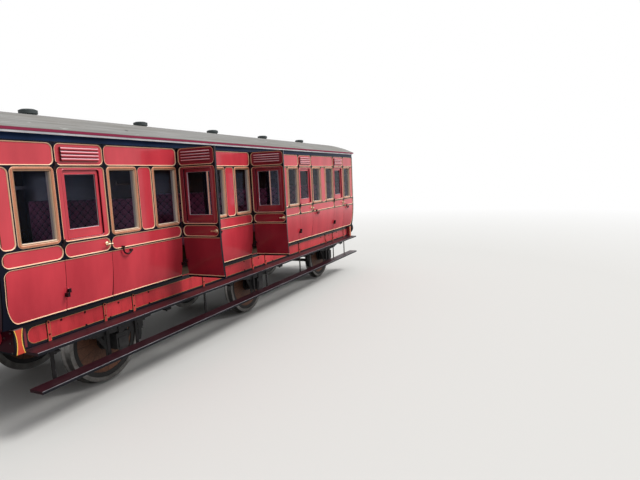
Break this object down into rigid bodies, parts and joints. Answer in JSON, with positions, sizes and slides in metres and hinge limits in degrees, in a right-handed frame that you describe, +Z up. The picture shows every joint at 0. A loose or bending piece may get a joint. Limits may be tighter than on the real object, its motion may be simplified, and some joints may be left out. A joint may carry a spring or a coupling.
{
  "type": "six-wheeled compartment railway coach",
  "caption": "Panelled wooden railway coach with hinged compartment doors on both sides, on wheels that turn.",
  "frame": {"origin": "centre of the coach in plan, at the height of the wheel flanges' lowest points", "axes": "+X along the coach, +Y across it away from the side with the open doors, +Z up"},
  "size_m": [10.506, 3.2265, 3.557],
  "materials": {
    "painted_timber": "glossy lined crimson paint on timber",
    "frame_timber": "dark stained frame timber",
    "black_iron": "black painted iron",
    "spring_steel": "black spring steel",
    "painted_iron": "glossy red painted iron",
    "worn_steel": "dark worn bare steel",
    "footboard_timber": "maroon painted boards worn at the edge",
    "floor_boards": "brown floor boards",
    "crimson_panels": "glossy varnished crimson paint",
    "black_mouldings": "glossy black paint",
    "maroon_end": "glossy dark maroon paint",
    "compartment_lining": "varnished compartment boarding",
    "roof_canvas": "weathered grey roof canvas",
    "lamp_iron": "dark painted lamp tops",
    "varnished_wood": "varnished orange-brown wood",
    "window_glass": "clear window glass",
    "seat_moquette": "dark maroon buttoned cloth",
    "wheel_wood": "varnished wooden wheel discs on an iron axle",
    "tyre_steel": "rolled steel tyres"
  },
  "bodies": {
    "root": {"axleboxes": "black_iron", "axleguards": "black_iron", "beading": "black_mouldings", "brake_gear": "black_iron", "buffer_heads": "worn_steel", "buffer_housings": "painted_iron", "cornices": "black_mouldings", "couplings": "worn_steel", "door_ironwork": "black_iron", "end_irons": "black_iron", "end_left": "maroon_end", "end_right": "maroon_end", "floor": "floor_boards", "footboards_lower": "footboard_timber", "footboards_upper": "footboard_timber", "headstocks": "painted_timber", "lamp_tops": "lamp_iron", "luggage_racks": "varnished_wood", "partitions": "compartment_lining", "roof": "roof_canvas", "seat_backs": "seat_moquette", "seat_bases": "varnished_wood", "seat_cushions": "seat_moquette", "side_far": "crimson_panels", "side_near": "crimson_panels", "solebars": "painted_timber", "spring_hangers": "black_iron", "springs": "spring_steel", "step_irons": "black_iron", "underframe_members": "frame_timber", "vacuum_cylinder": "black_iron", "vacuum_pipes": "painted_iron", "window_frames": "varnished_wood", "window_glass": "window_glass"},
    "axle_1": {"wheelset_1": "wheel_wood", "tyres_1": "tyre_steel"},
    "axle_2": {"wheelset_2": "wheel_wood", "tyres_2": "tyre_steel"},
    "axle_3": {"wheelset_3": "wheel_wood", "tyres_3": "tyre_steel"},
    "near_door_1": {"door_near_1": "crimson_panels", "door_glass_near_1": "window_glass"},
    "near_door_2": {"door_near_2": "crimson_panels", "door_glass_near_2": "window_glass"},
    "near_door_3": {"door_near_3": "crimson_panels", "door_glass_near_3": "window_glass"},
    "near_door_4": {"door_near_4": "crimson_panels", "door_glass_near_4": "window_glass"},
    "near_door_5": {"door_near_5": "crimson_panels", "door_glass_near_5": "window_glass"},
    "far_door_1": {"door_far_1": "crimson_panels", "door_glass_far_1": "window_glass"},
    "far_door_2": {"door_far_2": "crimson_panels", "door_glass_far_2": "window_glass"},
    "far_door_3": {"door_far_3": "crimson_panels", "door_glass_far_3": "window_glass"},
    "far_door_4": {"door_far_4": "crimson_panels", "door_glass_far_4": "window_glass"},
    "far_door_5": {"door_far_5": "crimson_panels", "door_glass_far_5": "window_glass"}
  },
  "joints": [
    {"name": "axle_1_roll", "type": "hinge", "parent": "root", "child": "axle_1", "pos_m": [-3.353, 0, 0.574], "axis": [0, 1, 0], "continuous": true},
    {"name": "axle_2_roll", "type": "hinge", "parent": "root", "child": "axle_2", "pos_m": [0, 0, 0.574], "axis": [0, 1, 0], "continuous": true},
    {"name": "axle_3_roll", "type": "hinge", "parent": "root", "child": "axle_3", "pos_m": [3.353, 0, 0.574], "axis": [0, 1, 0], "continuous": true},
    {"name": "near_door_1_swing", "type": "hinge", "parent": "root", "child": "near_door_1", "pos_m": [-4.1315, -1.237, 2], "axis": [0, 0, -1], "range_deg": [0, 95]},
    {"name": "near_door_2_swing", "type": "hinge", "parent": "root", "child": "near_door_2", "pos_m": [-2.2265, -1.237, 2], "axis": [0, 0, -1], "range_deg": [-90, 5]},
    {"name": "near_door_3_swing", "type": "hinge", "parent": "root", "child": "near_door_3", "pos_m": [-0.3215, -1.237, 2], "axis": [0, 0, -1], "range_deg": [-85, 10]},
    {"name": "near_door_4_swing", "type": "hinge", "parent": "root", "child": "near_door_4", "pos_m": [1.5835, -1.237, 2], "axis": [0, 0, -1], "range_deg": [0, 95]},
    {"name": "near_door_5_swing", "type": "hinge", "parent": "root", "child": "near_door_5", "pos_m": [3.4885, -1.237, 2], "axis": [0, 0, -1], "range_deg": [0, 95]},
    {"name": "far_door_1_swing", "type": "hinge", "parent": "root", "child": "far_door_1", "pos_m": [-3.4885, 1.237, 2], "axis": [0, 0, -1], "range_deg": [0, 95]},
    {"name": "far_door_2_swing", "type": "hinge", "parent": "root", "child": "far_door_2", "pos_m": [-1.5835, 1.237, 2], "axis": [0, 0, -1], "range_deg": [0, 95]},
    {"name": "far_door_3_swing", "type": "hinge", "parent": "root", "child": "far_door_3", "pos_m": [0.3215, 1.237, 2], "axis": [0, 0, -1], "range_deg": [0, 95]},
    {"name": "far_door_4_swing", "type": "hinge", "parent": "root", "child": "far_door_4", "pos_m": [2.2265, 1.237, 2], "axis": [0, 0, -1], "range_deg": [0, 95]},
    {"name": "far_door_5_swing", "type": "hinge", "parent": "root", "child": "far_door_5", "pos_m": [4.1315, 1.237, 2], "axis": [0, 0, -1], "range_deg": [0, 95]}
  ]
}
